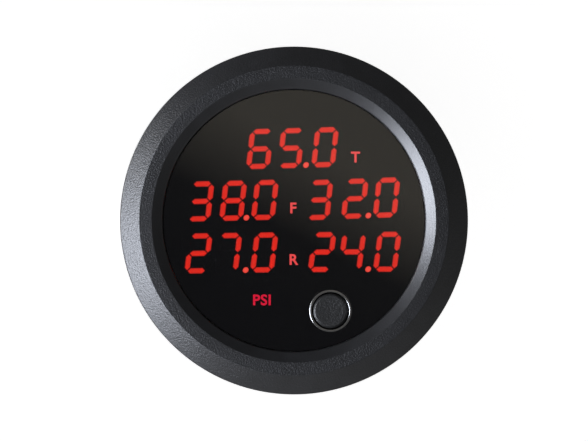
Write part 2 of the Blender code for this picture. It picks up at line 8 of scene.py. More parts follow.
import bmesh
import bpy
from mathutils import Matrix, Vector


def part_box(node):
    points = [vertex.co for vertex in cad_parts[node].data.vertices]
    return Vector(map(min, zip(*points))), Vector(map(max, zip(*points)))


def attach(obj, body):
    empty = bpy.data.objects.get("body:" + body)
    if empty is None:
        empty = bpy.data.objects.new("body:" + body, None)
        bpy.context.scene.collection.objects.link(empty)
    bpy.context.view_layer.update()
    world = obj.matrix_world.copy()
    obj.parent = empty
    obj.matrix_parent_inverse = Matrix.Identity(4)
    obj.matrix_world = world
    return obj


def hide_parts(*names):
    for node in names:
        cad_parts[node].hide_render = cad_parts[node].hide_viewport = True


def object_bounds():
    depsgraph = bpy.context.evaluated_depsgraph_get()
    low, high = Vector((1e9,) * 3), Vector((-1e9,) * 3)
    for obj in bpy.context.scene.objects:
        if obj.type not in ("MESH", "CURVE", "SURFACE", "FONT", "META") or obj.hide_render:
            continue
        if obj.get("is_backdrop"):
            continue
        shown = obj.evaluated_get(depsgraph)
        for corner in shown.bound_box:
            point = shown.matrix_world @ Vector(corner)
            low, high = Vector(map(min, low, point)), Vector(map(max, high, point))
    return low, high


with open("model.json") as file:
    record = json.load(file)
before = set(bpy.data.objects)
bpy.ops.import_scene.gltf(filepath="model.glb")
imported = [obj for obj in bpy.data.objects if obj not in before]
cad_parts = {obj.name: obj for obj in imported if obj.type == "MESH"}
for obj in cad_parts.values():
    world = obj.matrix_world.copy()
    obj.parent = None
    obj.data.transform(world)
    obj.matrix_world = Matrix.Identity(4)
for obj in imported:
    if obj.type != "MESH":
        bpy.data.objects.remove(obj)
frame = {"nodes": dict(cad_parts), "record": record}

CAD_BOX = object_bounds()
MM = 0.001
TURN = 2 * pi
SIDES = ("left", "right")


# -------- places read from the frame


def span(node):
    """A CAD node's low corner, high corner and middle."""
    low, high = (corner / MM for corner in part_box(node))
    return low, high, (low + high) / 2


BEZEL_LOW, BEZEL_HIGH, _ = span("bezel_ring")
BEZEL_RADIUS = BEZEL_HIGH.x
TOP_Z = BEZEL_HIGH.z
SEAT_Z = BEZEL_LOW.z
LENS_LOW, LENS_HIGH, _ = span("lens")
LENS_RADIUS = LENS_HIGH.x
GASKET_TOP_Z = span("lens_gasket")[1].z
MASK_LOW_Z = span("display_mask")[0].z
HOUSING_LOW, HOUSING_HIGH, _ = span("housing")
STRAP_LOW, STRAP_HIGH, _ = span("clamp_bracket")
STUD_AT = {side: span(f"stud_{side}")[2].xy for side in SIDES}

# Sizes that the frame's boxes don't give
CHAMFER_WIDTH = 3.0
CHAMFER_HEIGHT = 1.9
RIM_INNER_RADIUS = 21.25
WINDOW_RADIUS = 19.7
BEVEL_HEIGHT = 0.8
SKIRT_BORE = 24.3
SKIRT_SHOULDER_Z = 24.0
BARREL_RADIUS = 22.2
BARREL_WALL = 1.5
FLOOR_THICKNESS = 2.0
THREAD_PITCH = 0.5
THREAD_DEPTH = 0.22
STUD_RADIUS = 1.45


# -------- mesh helpers


def filleted(corners, closed=True, step=15.0):
    """Rounds every corner (radius, z, fillet) of an outline and returns plain (radius, z) points."""
    points = []
    count = len(corners)
    for i, (x, z, fillet) in enumerate(corners):
        here = Vector((x, z))
        if fillet == 0 or (not closed and i in (0, count - 1)):
            points.append((x, z))
            continue
        back = (Vector(corners[i - 1][:2]) - here).normalized()
        ahead = (Vector(corners[(i + 1) % count][:2]) - here).normalized()
        half = back.angle(ahead) / 2
        centre = here + (back + ahead).normalized() * fillet / sin(half)
        start = here + back * fillet / tan(half) - centre
        end = here + ahead * fillet / tan(half) - centre
        first = atan2(start.y, start.x)
        turn = (atan2(end.y, end.x) - first + pi) % TURN - pi
        steps = max(2, ceil(abs(degrees(turn)) / step))
        for k in range(steps + 1):
            angle = first + turn * k / steps
            points.append((centre.x + fillet * cos(angle), centre.y + fillet * sin(angle)))
    return points


def oblong(width, height, fillet, step):
    """The outline of a rectangle with rounded corners, centred on the origin."""
    x, y = width / 2, height / 2
    return filleted([(-x, -y, fillet), (x, -y, fillet), (x, y, fillet), (-x, y, fillet)], step=step)


def even_angles(count):
    return [TURN * i / count for i in range(count)]


def settled(mesh, weld=0.0):
    """Welds points closer than weld metres and turns the faces of a closed mesh outward."""
    editable = bmesh.new()
    editable.from_mesh(mesh)
    if weld:
        bmesh.ops.remove_doubles(editable, verts=editable.verts, dist=weld)
    bmesh.ops.recalc_face_normals(editable, faces=editable.faces)
    editable.to_mesh(mesh)
    editable.free()
    return mesh


def new_mesh(vertices, faces):
    mesh = bpy.data.meshes.new("mesh")
    mesh.from_pydata([(x * MM, y * MM, z * MM) for x, y, z in vertices], [], faces)
    return settled(mesh)


def lathe(profile, angles, at=(0.0, 0.0), closed=False, shape=None):
    """Turns (radius, z) points about a vertical axis; shape(radius, z, angle) may change a point's radius.
    An open profile starts and ends on the axis."""
    vertices, faces, rings = [], [], []
    for radius, z in profile:
        if radius == 0:
            rings.append([len(vertices)] * len(angles))
            vertices.append((at[0], at[1], z))
            continue
        rings.append(range(len(vertices), len(vertices) + len(angles)))
        for angle in angles:
            r = shape(radius, z, angle) if shape else radius
            vertices.append((at[0] + r * cos(angle), at[1] + r * sin(angle), z))
    pairs = list(zip(rings, rings[1:]))
    if closed:
        pairs.append((rings[-1], rings[0]))
    for upper, lower in pairs:
        for i in range(len(angles)):
            j = (i + 1) % len(angles)
            face = list(dict.fromkeys((upper[i], upper[j], lower[j], lower[i])))
            if len(face) > 2:
                faces.append(face)
    return new_mesh(vertices, faces)


def turned(corners, sides=96, at=(0.0, 0.0), closed=False, shape=None):
    """Turns an outline of (radius, z, fillet) corners about a vertical axis."""
    return lathe(filleted(corners, closed), even_angles(sides), at, closed, shape)


def disc(at, radius, bottom, top, sides, upper=0.0, lower=0.0):
    """A round plug with its upper and lower edges rounded by so much."""
    corners = [(0.0, top, 0), (radius, top, upper), (radius, bottom, lower), (0.0, bottom, 0)]
    return turned(corners, sides, at)


def hole(at, radius, bottom, top, sides=64):
    """What carved takes out for a round hole."""
    return disc(at, radius, bottom, top, sides)


def four(centre, x, y):
    """The corners of a rectangle round centre, x and y away from it."""
    return [(centre.x + i, centre.y + k) for i in (-x, x) for k in (-y, y)]


def loft(sections):
    """Joins cross-sections, each a loop of the same number of points, and caps the two ends."""
    count = len(sections[0])
    last = count * (len(sections) - 1)
    faces = []
    for a in range(0, last, count):
        for i in range(count):
            j = (i + 1) % count
            faces.append((a + i, a + j, a + count + j, a + count + i))
    faces += [tuple(range(count)), tuple(range(last, last + count))]
    return new_mesh([point for section in sections for point in section], faces)


def inset_outline(outline, amount):
    """The outline with each point moved inward, square to its neighbours, by up to its reach."""
    centre = sum((Vector(p) for p in outline), Vector((0.0, 0.0))) / len(outline)
    longest = max((Vector(p) - centre).length for p in outline)
    inside = []
    for i, point in enumerate(outline):
        here = Vector(point)
        before = (here - Vector(outline[i - 1])).normalized()
        after = (Vector(outline[(i + 1) % len(outline)]) - here).normalized()
        inward = Vector((-(before + after).y, (before + after).x)).normalized()
        if (centre - here).dot(inward) < 0:
            inward.negate()
        moved = here + inward * min(amount, longest)
        inside.append((moved.x, moved.y))
    return inside


def plates(outlines, *levels):
    """Closed outlines in the XY plane as plates, each with a ring at every (inset, z) level."""
    stacks = []
    for outline in outlines:
        rings = [(inset_outline(outline, inset) if inset else outline, z) for inset, z in levels]
        stacks.append(loft([[(x, y, z) for x, y in ring] for ring, z in rings]))
    return joined(*stacks)


def rounded_box(size, centre, bevel=0.2, segments=3):
    mesh = bpy.data.meshes.new("box")
    editable = bmesh.new()
    bmesh.ops.create_cube(editable, size=1.0)
    for vertex in editable.verts:
        vertex.co = [(c + v * s) * MM for v, s, c in zip(vertex.co, size, centre)]
    edges = list(editable.edges)
    bmesh.ops.bevel(
        editable, geom=edges, offset=bevel * MM, segments=segments, profile=0.5, affect="EDGES"
    )
    editable.to_mesh(mesh)
    editable.free()
    return mesh


def joined(*meshes):
    editable = bmesh.new()
    for mesh in meshes:
        editable.from_mesh(mesh)
    whole = bpy.data.meshes.new("joined")
    editable.to_mesh(whole)
    editable.free()
    return whole


def add_object(name, data):
    obj = bpy.data.objects.new(name, data)
    bpy.context.scene.collection.objects.link(obj)
    return obj


def evaluated_mesh(obj):
    bpy.context.view_layer.update()
    return bpy.data.meshes.new_from_object(obj.evaluated_get(bpy.context.evaluated_depsgraph_get()))


def carved(mesh, *tools):
    """The mesh with closed meshes taken out of it."""
    blank = add_object("blank", mesh)
    cutters = [add_object("cutter", tool) for tool in tools]
    for cutter in cutters:
        modifier = blank.modifiers.new("cut", "BOOLEAN")
        modifier.operation = "DIFFERENCE"
        modifier.object = cutter
    result = evaluated_mesh(blank)
    for obj in [blank, *cutters]:
        bpy.data.objects.remove(obj)
    return result


# The slots of the materials that don't carry their slot's own name
SLOTS = {
    "module_face": "black_plastic",
    "component_black": "black_plastic",
    "lit_segment": "led_red",
    "lit_point": "led_red",
    "lit_legend": "led_red",
    "lit_unit": "led_red",
    "dark_chrome": "chrome",
    "can_aluminium": "capacitor_can",
}


def piece(name, mesh, material, node=None, body="case", slot=None, sharp=35.0, weighted=True):
    """Shows a mesh as a piece that rides on body and stands for a CAD node, if it names one."""
    mesh.name = name
    mesh.materials.clear()
    mesh.materials.append(material)
    mesh.shade_smooth()
    mesh.set_sharp_from_angle(angle=radians(sharp))
    obj = add_object(name, mesh)
    if weighted:
        normals = obj.modifiers.new("flat_faces_stay_flat", "WEIGHTED_NORMAL")
        normals.keep_sharp = True
        normals.weight = 80
    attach(obj, body)
    if node:
        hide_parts(node)
    look = material.name.split(".")[0]  # Blender numbers a name that the frame's own materials have
    slot or SLOTS.get(look, look)


# -------- materials


class Nodes:
    """Adds shader nodes to a tree and joins them up."""

    def __init__(self, tree):
        self.tree = tree

    def feed(self, socket, value):
        """Gives a socket a fixed value, or links it to another node's output."""
        if isinstance(value, bpy.types.NodeSocket):
            self.tree.links.new(value, socket)
        else:
            socket.default_value = value

    def node(self, kind, **settings):
        """A node of this kind; a setting is one of its properties or else feeds one of its sockets."""
        made = self.tree.nodes.new("ShaderNode" + kind)
        for key, value in settings.items():
            if hasattr(made, key):
                setattr(made, key, value)
            else:
                self.feed(made.inputs[key.replace("_", " ")], value)
        return made

    def maths(self, operation, *values, kind="Math", result="Value"):
        made = self.node(kind, operation=operation)
        for socket, value in zip(made.inputs, values):
            self.feed(socket, value)
        return made.outputs[result]

    def mix(self, kind, factor, first, second, blend="MIX"):
        """Mixes two numbers (FLOAT) or two colours (RGBA)."""
        made = self.node("Mix", data_type=kind, blend_type=blend)
        pair, result = {"FLOAT": (2, 0), "RGBA": (6, 2)}[kind]
        for socket, value in ((0, factor), (pair, first), (pair + 1, second)):
            self.feed(made.inputs[socket], value)
        return made.outputs[result]

    def ramp(self, source, *stops):
        """A colour ramp; each stop is (position, value or colour)."""
        ramp = self.node("ValToRGB", Fac=source)
        elements = ramp.color_ramp.elements
        while len(elements) < len(stops):
            elements.new(1.0)
        for element, (position, colour) in zip(elements, stops):
            element.position = position
            rgb = colour if isinstance(colour, tuple) else (colour, colour, colour)
            element.color = (*rgb, 1.0)
        return ramp.outputs["Color"]

    def spread(self, source, low, high, to_low=0.0, to_high=1.0):
        """A value that runs from to_low to to_high while source runs from low to high."""
        ends = {"From_Min": low, "From_Max": high, "To_Min": to_low, "To_Max": to_high}
        return self.node("MapRange", Value=source, **ends).outputs["Result"]

    def length(self, vector):
        return self.maths("LENGTH", vector, kind="VectorMath")


class Surface(Nodes):
    """A Principled material under construction."""

    def __init__(self, name, colour=(0.5, 0.5, 0.5), **sockets):
        self.material = bpy.data.materials.new(name)
        self.material.use_nodes = True
        super().__init__(self.material.node_tree)
        self.shader = self.tree.nodes["Principled BSDF"]
        self.set(Base_Color=(*colour, 1.0), **sockets)
        self.place = self.node("TexCoord").outputs["Object"]
        self.bumps = {}

    def set(self, **sockets):
        for socket, value in sockets.items():
            self.feed(self.shader.inputs[socket.replace("_", " ")], value)

    def noise(self, size, detail=3.0, roughness=0.55, place=None):
        """Noise whose features are size millimetres across."""
        settings = {"Scale": 1.0 / (size * MM), "Detail": detail, "Roughness": roughness}
        return self.node("TexNoise", Vector=place or self.place, **settings).outputs["Fac"]

    def colour(self, source, *stops):
        self.set(Base_Color=self.ramp(source, *stops))

    def roughness(self, source, low, high):
        self.set(Roughness=self.spread(source, 0.3, 0.7, low, high))

    def bump(self, source, height, strength=1.0):
        """Raises the surface by up to height millimetres where source is bright."""
        bump = self.node("Bump", Strength=strength, Distance=height * MM, Height=source, **self.bumps)
        self.bumps = {"Normal": bump.outputs["Normal"]}
        self.set(**self.bumps)


def anodised_black():
    """Bead-blasted and black anodised aluminium, with its inner bevel turned bright before the dye."""
    s = Surface("anodised_bezel", IOR=1.55, Specular_IOR_Level=0.36)
    blast = s.noise(0.27, roughness=0.65)
    s.colour(s.noise(3.0), (0.3, (0.003, 0.003, 0.0034)), (0.7, (0.005, 0.005, 0.0056)))
    flat = s.maths("MULTIPLY", s.place, (1.0, 1.0, 0.0), kind="VectorMath", result="Vector")
    edge, blend = RIM_INNER_RADIUS * MM, 0.1 * MM
    outside = s.spread(s.length(flat), edge - blend, edge + blend)
    s.set(Roughness=s.mix("FLOAT", outside, 0.35, s.spread(blast, 0.0, 1.0, 0.3, 0.43)))
    s.bump(s.maths("MULTIPLY", blast, s.spread(outside, 0.0, 1.0, 0.25, 1.0)), 0.07)
    return s.material


def grained_black(name, base, rough_low, rough_high):
    """Moulded black plastic with a fine spark-eroded grain."""
    s = Surface(name, IOR=1.5, Specular_IOR_Level=0.36)
    grain = s.noise(0.32, roughness=0.65)
    s.colour(s.noise(4.0), (0.3, base * 0.8), (0.7, base * 1.2))
    s.roughness(grain, rough_low, rough_high)
    s.bump(grain, 0.08)
    return s.material


def smoked_window():
    """Smoked acrylic, polished, its surface very slightly wavy."""
    s = Surface("smoked_window", (0.25, 0.25, 0.25), Transmission_Weight=1.0, IOR=1.49, Roughness=0.0)
    s.bump(s.noise(12.0, detail=0.0), 0.006, 0.3)
    return s.material


def satin_black(name, base, roughness, sheen=0.5):
    s = Surface(name, Specular_IOR_Level=sheen)
    s.colour(s.noise(1.5), (0.3, base * 0.8), (0.7, base * 1.2))
    s.roughness(s.noise(0.4), roughness - 0.06, roughness + 0.06)
    return s.material


def lit_red(name, core, edge, strength):
    """A lit display segment: brightest along its middle, by the mesh's own core attribute."""
    s = Surface(name, (0.25, 0.01, 0.01), Roughness=0.4, Emission_Strength=strength)
    middle = s.node("Attribute", attribute_name="core").outputs["Fac"]
    glow = s.maths("MULTIPLY_ADD", s.noise(0.6, detail=2.0), 0.6, middle)
    s.set(Emission_Color=s.ramp(glow, (0.2, edge), (1.2, core)))
    return s.material


def plated(name, colour, rough_low, rough_high, brushed=None):
    """Bright plated metal with faint stains, and brush lines where brushed gives their direction."""
    s = Surface(name, colour, Metallic=1.0)
    dark = tuple(c * 0.86 for c in colour)
    s.colour(s.noise(1.6, detail=4.0), (0.25, dark), (0.7, colour))
    s.roughness(s.noise(0.5, detail=4.0), rough_low, rough_high)
    if brushed:
        stretched = s.node("Mapping", Scale=brushed, Vector=s.place).outputs["Vector"]
        s.bump(s.noise(0.12, detail=2.0, place=stretched), 0.004, 0.35)
    s.bump(s.noise(0.35), 0.003, 0.25)
    return s.material


def rubber_black():
    s = Surface("seal_rubber", (0.02, 0.02, 0.02))
    s.roughness(s.noise(0.5), 0.7, 0.85)
    return s.material


def board_green():
    """Green solder mask over copper: blocks of parallel tracks that run one way or the other."""
    s = Surface("board_laminate", IOR=1.5)
    block, pitch = 4.0 * MM, 0.9 * MM
    blocks = s.node("TexVoronoi", distance="CHEBYCHEV", Scale=1 / block, Vector=s.place)
    tracks = {"wave_profile": "TRI", "Scale": 1 / (20 * pitch), "Vector": s.place}
    ways = [s.node("TexWave", bands_direction=way, **tracks).outputs["Fac"] for way in "XY"]
    way = s.ramp(blocks.outputs["Color"], (0.49, 0.0), (0.51, 1.0))
    s.colour(s.mix("FLOAT", way, *ways), (0.5, (0.006, 0.06, 0.024)), (0.6, (0.02, 0.16, 0.07)))
    s.roughness(s.noise(0.8), 0.3, 0.42)
    return s.material


BLACK_METAL = anodised_black()
HOUSING = grained_black("housing_plastic", 0.005, 0.34, 0.48)
WINDOW = smoked_window()
MASK_INK = satin_black("mask_ink", 0.0015, 0.6, sheen=0.1)
MODULE_FACE = satin_black("module_face", 0.0015, 0.6, sheen=0.1)
COMPONENT_BLACK = satin_black("component_black", 0.02, 0.5)
BUTTON_TOP = grained_black("button_plastic", 0.006, 0.3, 0.42)
SEGMENT_RED = lit_red("lit_segment", (1.0, 0.026, 0.012), (0.3, 0.004, 0.004), 2.9)
POINT_RED = lit_red("lit_point", (1.0, 0.09, 0.06), (0.75, 0.03, 0.02), 3.6)
LEGEND_RED = lit_red("lit_legend", (1.0, 0.09, 0.09), (0.8, 0.05, 0.05), 3.4)
UNIT_RED = lit_red("lit_unit", (0.85, 0.008, 0.045), (0.7, 0.005, 0.03), 3.2)
DARK_CHROME = plated("dark_chrome", (0.24, 0.24, 0.24), 0.14, 0.22)
NICKEL = plated("nickel_plate", (0.58, 0.57, 0.55), 0.1, 0.2)
ZINC = plated("zinc_steel", (0.68, 0.68, 0.68), 0.14, 0.26, brushed=(0.04, 1.0, 1.0))
ALUMINIUM = plated("can_aluminium", (0.6, 0.6, 0.61), 0.25, 0.35)
BRASS = plated("brass", (0.75, 0.55, 0.25), 0.2, 0.32)
RUBBER = rubber_black()
BOARD = board_green()


# -------- bezel, window and display


def make_bezel():
    barrel_bore = BARREL_RADIUS + 0.15
    pocket = LENS_RADIUS + 0.2
    lip_z = GASKET_TOP_Z + 0.05
    corners = [
        (RIM_INNER_RADIUS, TOP_Z, 0.1),
        (BEZEL_RADIUS - CHAMFER_WIDTH, TOP_Z, 0.3),
        (BEZEL_RADIUS, TOP_Z - CHAMFER_HEIGHT, 0.35),
        (BEZEL_RADIUS, SEAT_Z, 0.3),
        (SKIRT_BORE, SEAT_Z, 0.15),
        (SKIRT_BORE, SKIRT_SHOULDER_Z, 0),
        (barrel_bore, SKIRT_SHOULDER_Z, 0),
        (barrel_bore, MASK_LOW_Z, 0),
        (pocket, MASK_LOW_Z, 0),
        (pocket, lip_z, 0),
        (WINDOW_RADIUS, lip_z, 0.04),
        (WINDOW_RADIUS, TOP_Z - BEVEL_HEIGHT, 0.45),
    ]
    piece("bezel", turned(corners, 256, closed=True), BLACK_METAL, "bezel_ring")


def make_window():
    edge = 0.12
    pane = disc((0.0, 0.0), LENS_RADIUS, LENS_LOW.z, LENS_HIGH.z, 192, edge, edge)
    at = span("button_cap")[2].xy
    bore = hole(at, 3.05, LENS_LOW.z - 1, LENS_HIGH.z + 1, sides=96)
    piece("window", carved(pane, bore), WINDOW, "lens")


DIGIT_WIDTH = 3.65
DIGIT_HEIGHT = 6.1
DIGIT_PITCH = 4.95
STROKE = 0.84
SLANT = tan(radians(8.0))
SEGMENT_GAP = 0.07
DOT_OFFSET = (2.05, -2.62)
DOT_RADIUS = 0.44
LEGEND_HEIGHT = 1.6
SUNK = 0.01
LIT_RISE = 0.06
UNLIT_RISE = 0.04

SEGMENTS = {
    "0": "abcdef",
    "2": "abged",
    "3": "abgcd",
    "4": "fgbc",
    "5": "afgcd",
    "6": "afgedc",
    "7": "abc",
    "8": "abcdefg",
}
# What each module shows, how far it leans in degrees, and how far its digits stand from their even places
READINGS = {
    "trailer": ("650", 1.5, (0.1, -0.15, 0.05)),
    "front_left": ("380", 1.3, (0.1, 0.1, -0.05)),
    "front_right": ("320", 2.0, (-0.3, 0.1, -0.05)),
    "rear_left": ("270", 0.8, (-0.1, -0.55, -0.05)),
    "rear_right": ("240", 0.3, (0.05, -0.4, 0.0)),
}
LEGENDS = {
    "trailer": ("T", LEGEND_RED),
    "front": ("F", LEGEND_RED),
    "rear": ("R", LEGEND_RED),
    "unit": ("PSI", UNIT_RED),
}


def segment_outline(key):
    """The mitred outline of one segment of an upright digit centred on the origin."""
    w = (DIGIT_WIDTH - STROKE) / 2
    h = (DIGIT_HEIGHT - STROKE) / 2
    s = STROKE / 2
    g = SEGMENT_GAP
    if key in "adg":
        y = {"a": h, "g": 0.0, "d": -h}[key]
        corners = [(-w + g, y), (-w + s + g, y + s), (w - s - g, y + s)]
        corners += [(w - g, y), (w - s - g, y - s), (-w + s + g, y - s)]
    else:
        x = w if key in "bc" else -w
        low, high = (0.0, h) if key in "bf" else (-h, 0.0)
        corners = [(x, low + g), (x + s, low + s + g), (x + s, high - s - g), (x, high - g)]
        corners += [(x - s, high - s - g), (x - s, low + s + g)]
    return filleted([(x, y, 0.1) for x, y in corners], step=30.0)


def slanted(points, shift, centre, lean):
    """Slants a digit's outline, puts it in its place in the module and leans it with the module."""
    placed = []
    for x, y in points:
        x += y * SLANT + shift
        placed.append((centre.x + x * cos(lean) - y * sin(lean), centre.y + x * sin(lean) + y * cos(lean)))
    return placed


def give_core(mesh, values):
    """Sets the attribute that lit_red reads: 0 at a segment's edge, 1 along its middle."""
    mesh.attributes.new("core", "FLOAT", "POINT").data.foreach_set("value", values)
    return mesh


def glowing_plates(outlines, face, inset):
    """Thin lit plates with an inner loop on top, so that core runs from their edges to their middles."""
    top = face + LIT_RISE
    mesh = plates(outlines, (0.0, face - SUNK), (0.0, top), (inset, top))
    return give_core(mesh, [value for outline in outlines for value in (0.0, 0.0, 1.0) for _ in outline])


def make_display():
    """Five three-digit modules: a black case with lit segments standing in its face, unlit ones dark."""
    for name, (reading, lean, nudges) in READINGS.items():
        lean = radians(lean)
        node = f"display_module_{name}"
        low, high, centre = span(node)
        piece(f"module_{name}", rounded_box(high - low, centre, 0.25), MODULE_FACE, node)
        lit, dark, points = [], [], []
        for i, digit in enumerate(reading):
            place = (i - 1) * DIGIT_PITCH
            for key in "abcdefg":
                outline = slanted(segment_outline(key), place + nudges[i], centre, lean)
                (lit if key in SEGMENTS[digit] else dark).append(outline)
            dot = []
            for angle in even_angles(24):
                x, y = (c + DOT_RADIUS * turn for c, turn in zip(DOT_OFFSET, (cos(angle), sin(angle))))
                dot.append((x - DOT_OFFSET[1] * SLANT, y))
            (points if i == 1 else dark).append(slanted(dot, place, centre, lean))
        mesh = glowing_plates(lit, high.z, STROKE * 0.3)
        piece(f"digits_{name}", mesh, SEGMENT_RED, weighted=False)
        mesh = glowing_plates(points, high.z, DOT_RADIUS * 0.6)
        piece(f"point_{name}", mesh, POINT_RED, weighted=False)
        chamfer, top = 0.02, high.z + UNLIT_RISE
        mesh = plates(dark, (0.0, high.z - SUNK), (0.0, top - chamfer), (chamfer, top))
        piece(f"unlit_{name}", mesh, MODULE_FACE, weighted=False)


def letters_mesh(text, centre, height, bottom, top):
    """Plain sans-serif letters as thin plates."""
    cap_height = 0.72  # of the font's size
    curve = bpy.data.curves.new("letters", "FONT")
    curve.body = text
    curve.align_x = "CENTER"
    curve.align_y = "CENTER"
    curve.size = height * MM / cap_height
    curve.extrude = (top - bottom) / 2 * MM
    curve.offset = 0.035 * height * MM
    curve.space_character = 1.08
    obj = add_object("letters", curve)
    mesh = evaluated_mesh(obj)
    bpy.data.objects.remove(obj)
    low = [min(v.co[i] for v in mesh.vertices) for i in range(3)]
    high = [max(v.co[i] for v in mesh.vertices) for i in range(3)]
    aim = (centre[0] * MM, centre[1] * MM, (bottom + top) / 2 * MM)
    for vertex in mesh.vertices:
        vertex.co = [c - (a + b) / 2 + t for c, a, b, t in zip(vertex.co, low, high, aim)]
    settled(mesh, weld=1e-7)
    return give_core(mesh, [0.6] * len(mesh.vertices))


def make_legends():
    for name, (text, material) in LEGENDS.items():
        node = f"legend_lamp_{name}"
        low, high, centre = span(node)
        piece(f"lamp_{name}", rounded_box(high - low, centre), MODULE_FACE, node)
        mesh = letters_mesh(text, centre, LEGEND_HEIGHT, high.z - SUNK, high.z + LIT_RISE)
        piece(f"legend_{name}", mesh, material, weighted=False)


# -------- button


def make_button():
    low, high, centre = span("button_cap")
    at = centre.xy
    cap_radius, flange_radius = 2.6, high.x - centre.x
    flange_top = LENS_LOW.z - 0.1
    corners = [
        (0.0, high.z - 0.06, 0),
        (1.6, high.z - 0.03, 4.0),
        (cap_radius - 0.28, high.z, 0.05),
        (cap_radius, high.z - 0.26, 0.08),
        (cap_radius, flange_top, 0.1),
        (flange_radius, flange_top, 0.08),
        (flange_radius, low.z, 0.08),
        (0.0, low.z, 0),
    ]
    piece("push_button", turned(corners, at=at), BUTTON_TOP, "button_cap", "button")
    low, high, _ = span("button_trim_ring")
    bore, sleeve, outer = 2.82, 3.0, high.x - centre.x
    corners = [
        (bore, high.z, 0.1),
        (outer, high.z, 0.12),
        (outer, LENS_HIGH.z + 0.05, 0.02),
        (sleeve, LENS_HIGH.z + 0.05, 0),
        (sleeve, low.z, 0.03),
        (bore, low.z, 0.03),
    ]
    piece("button_bezel", turned(corners, at=at, closed=True), DARK_CHROME, "button_trim_ring")


# -------- housing

KEYWAY_HALF = 2.2
KEYWAY_DEPTH = 0.7
RIB_HALF = 0.5
RIB_SINK = 0.25
BEAD_WIDTH = 0.5
BEAD_HEIGHT = 0.25
REAR_RECESS = 0.2
REAR_RIM_RADIUS = 20.4
EJECTOR_CIRCLE = 15.5
EDGE = 0.12  # how far each step in the keyway's section slopes
# The keyway's section: how far the surface stands above the barrel's round, at each distance from the middle
KEYWAY = [
    (RIB_HALF - EDGE, -RIB_SINK),
    (RIB_HALF, -KEYWAY_DEPTH),
    (KEYWAY_HALF - EDGE, -KEYWAY_DEPTH),
    (KEYWAY_HALF, BEAD_HEIGHT - 0.08),
    (KEYWAY_HALF + EDGE, BEAD_HEIGHT),
    (KEYWAY_HALF + BEAD_WIDTH - EDGE, BEAD_HEIGHT),
    (KEYWAY_HALF + BEAD_WIDTH, BEAD_HEIGHT - 0.08),
    (KEYWAY_HALF + BEAD_WIDTH + 0.02, 0.0),
]


def keyway_rise(x):
    """The keyway's section, x millimetres to the side of its middle."""
    x = abs(x)
    if x <= KEYWAY[0][0]:
        return KEYWAY[0][1]
    for (x0, y0), (x1, y1) in zip(KEYWAY, KEYWAY[1:]):
        if x <= x1:
            return y0 + (y1 - y0) * (x - x0) / (x1 - x0)
    return 0.0


def housing_angles():
    """Even steps round the barrel, with extra ones at each step of the keyway."""
    close = (KEYWAY[-1][0] + 0.3) / BARREL_RADIUS
    angles = {round(a, 6) for a in even_angles(240)}
    angles = {a for a in angles if abs(a - pi / 2) > close}
    for x, _ in KEYWAY:
        angles |= {round(pi / 2 + side * x / BARREL_RADIUS, 6) for side in (-1, 1)}
    return sorted(angles)


def make_housing():
    bore = BARREL_RADIUS - BARREL_WALL
    base = HOUSING_LOW.z
    floor_top = base + FLOOR_THICKNESS
    flange_radius = HOUSING_HIGH.x
    flange_low, flange_high = SEAT_Z + 0.05, SKIRT_SHOULDER_Z - 0.5
    corners = [
        (0.0, floor_top, 0),
        (bore, floor_top, 0.6),
        (bore, HOUSING_HIGH.z, 0),
        (BARREL_RADIUS, HOUSING_HIGH.z, 0.1),
        (BARREL_RADIUS, flange_high, 0),
        (flange_radius, flange_high, 0.1),
        (flange_radius, flange_low, 0.1),
        (BARREL_RADIUS, flange_low, 0),
        (BARREL_RADIUS, base, 0.4),
        (REAR_RIM_RADIUS, base, 0.08),
        (REAR_RIM_RADIUS - 0.2, base + REAR_RECESS, 0.08),
        (0.0, base + REAR_RECESS, 0),
    ]

    def shape(radius, z, angle):
        on_barrel = z < flange_low + 0.01 and radius > BARREL_RADIUS - 0.6
        if not on_barrel or sin(angle) < 0:
            return radius
        return radius + keyway_rise((angle - pi / 2) * BARREL_RADIUS)

    shell = lathe(filleted(corners, closed=False), housing_angles(), shape=shape)
    low, high, middle = span("power_socket")
    size = (high.x - low.x + 0.2, high.y - low.y + 0.2, 6.0)
    tools = [rounded_box(size, (middle.x, middle.y, base), 0.3)]
    tools += [hole(STUD_AT[side], 1.6, base - 1, floor_top + 1) for side in SIDES]
    for angle in (32, 148, 212, 328):
        at = (EJECTOR_CIRCLE * cos(radians(angle)), EJECTOR_CIRCLE * sin(radians(angle)))
        tools.append(hole(at, 1.3, base - 1, base + REAR_RECESS + 0.12, sides=48))
    piece("housing_shell", carved(shell, *tools), HOUSING, "housing")


def rounded_rectangle(centre, size, radius, z):
    return [(centre.x + x, centre.y + y, z) for x, y in oblong(*size, radius, 18.0)]


